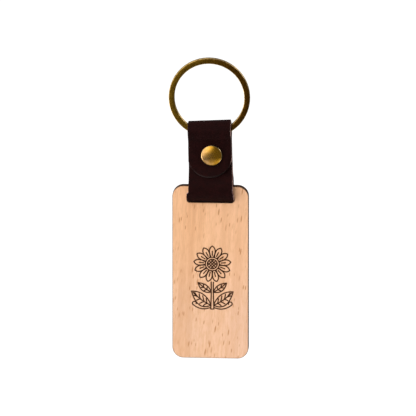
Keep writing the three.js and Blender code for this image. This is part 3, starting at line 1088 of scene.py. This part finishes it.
# ---------------------------------------------------------------- tag plies


class Ply:
    """Collects one ply's points and faces."""

    def __init__(self):
        self.vertices, self.faces, self.slots, self.scorch = [], [], [], []

    def add_vertices(self, plane_points, y, scorch):
        start = len(self.vertices)
        self.vertices += [(x, y, z) for x, z in plane_points]
        self.scorch += list(scorch)
        return start

    def add_face(self, face, slot):
        self.faces.append(face)
        self.slots.append(slot)


WOOD, CHAR = 0, 1
EDGE_SCORCH_REACH = 0.5
EDGE_SCORCH = 0.75
EDGE_ROUND = 0.1
WALL_SCORCH = 0.6


def face_plane(ply, y, inset, strokes):
    """One flat face of a ply, with its slot, its scorched rims and any engraved lines."""
    points, polygons = [], []

    def add(polygon):
        first = len(points)
        points.extend(Vector(point) for point in polygon)
        polygons.append(list(range(first, len(points))))

    add(tag_outline(inset))
    add(slot_outline(inset))
    add(tag_outline(EDGE_SCORCH_REACH))
    add(slot_outline(EDGE_SCORCH_REACH))
    for stroke in strokes:
        add(stroke_polygon(stroke, LINE_WIDTH / 2))
    first_halo = len(polygons)
    for stroke in strokes:
        add(stroke_polygon(stroke, LINE_WIDTH / 2 + SCORCH_REACH))
    places, _, triangles, _, _, origins = delaunay_2d_cdt(points, [], polygons, 1, 1e-5)
    places = np.array([tuple(place) for place in places])

    from_edge = np.array([edge_distance(x, z) for x, z in places])
    burnt = EDGE_SCORCH * np.maximum(0, 1 - from_edge / EDGE_SCORCH_REACH)
    if strokes:
        gap = stroke_distance(places, strokes) - LINE_WIDTH / 2
        burnt = np.maximum(burnt, np.clip(1 - gap / SCORCH_REACH, 0, 1))
    top = ply.add_vertices(places, y, burnt)
    floor = ply.add_vertices(places, y + LINE_DEPTH, np.ones(len(places))) if strokes else None

    engraved_edges, plain_edges = set(), set()
    for triangle, origin in zip(triangles, origins):
        if 0 not in origin or 1 in origin:
            continue
        engraved = any(4 <= index < first_halo for index in origin)
        base = floor if engraved else top
        ply.add_face([base + i for i in triangle], CHAR if engraved else WOOD)
        edges = engraved_edges if engraved else plain_edges
        for a, b in zip(triangle, [*triangle[1:], triangle[0]]):
            edges.add((a, b))
    for a, b in engraved_edges:
        if (b, a) in plain_edges:
            ply.add_face([floor + a, floor + b, top + b, top + a], CHAR)


def build_ply(name, node, wood, char, strokes=(), round_front=False, round_back=False):
    """One of the tag's three sheets: its two faces, and the charred walls of its rim and slot."""
    low, high = box_mm(node)
    front_y, back_y = low[1], high[1]
    ply = Ply()
    profile = [(0.0, front_y), (0.0, back_y)]
    if round_front:
        profile = [(EDGE_ROUND, front_y), (EDGE_ROUND * 0.3, front_y + EDGE_ROUND * 0.3),
                   (0.0, front_y + EDGE_ROUND), (0.0, back_y)]
    if round_back:
        profile = [(0.0, front_y), (0.0, back_y - EDGE_ROUND),
                   (EDGE_ROUND * 0.3, back_y - EDGE_ROUND * 0.3), (EDGE_ROUND, back_y)]
    for outline in (tag_outline, slot_outline):
        count = len(outline(0))
        burnt = [WALL_SCORCH] * count
        starts = [ply.add_vertices(outline(inset), y, burnt) for inset, y in profile]
        for upper, lower in zip(starts, starts[1:]):
            for i in range(count):
                j = (i + 1) % count
                ply.add_face([upper + i, lower + i, lower + j, upper + j], CHAR)
    face_plane(ply, front_y, profile[0][0], strokes)
    face_plane(ply, back_y, profile[-1][0], ())
    make_piece(
        name, "tag", [node], ply.vertices, ply.faces, [wood, char], ply.slots,
        attributes={"scorch": ply.scorch}, sharp_degrees=35, merge_mm=0.002,
    )


# ---------------------------------------------------------------- the pieces

build_ring()
build_strap()
rivet_brass = brass_material()
build_cap("rivet_front_cap", "rivet_cap", cap_high[1], -1, rivet_brass)
build_cap("rivet_rear_cap", "rivet_back_cap", rear_cap_low[1], 1, rivet_brass)
# The rivet's hidden pieces keep their solid shapes and take its brass.
for hidden in ("rivet_post", "rivet_socket"):
    node = frame["nodes"][hidden]
    node.data.materials.clear()
    node.data.materials.append(rivet_brass)

char_dark = char_material("charred_edge", (0.028, 0.011, 0.005), (0.16, 0.07, 0.035))
char_core = char_material("charred_core", (0.020, 0.008, 0.004), (0.11, 0.045, 0.024))
build_ply("tag_front_ply", "tag_front_veneer", wood_material("beech_front", 1.0),
          char_dark, ornament(), round_front=True)
build_ply("tag_middle_ply", "tag_core", wood_material("beech_middle", 2.0), char_core)
build_ply("tag_rear_ply", "tag_back_veneer", wood_material("beech_rear", 3.0),
          char_dark, round_back=True)
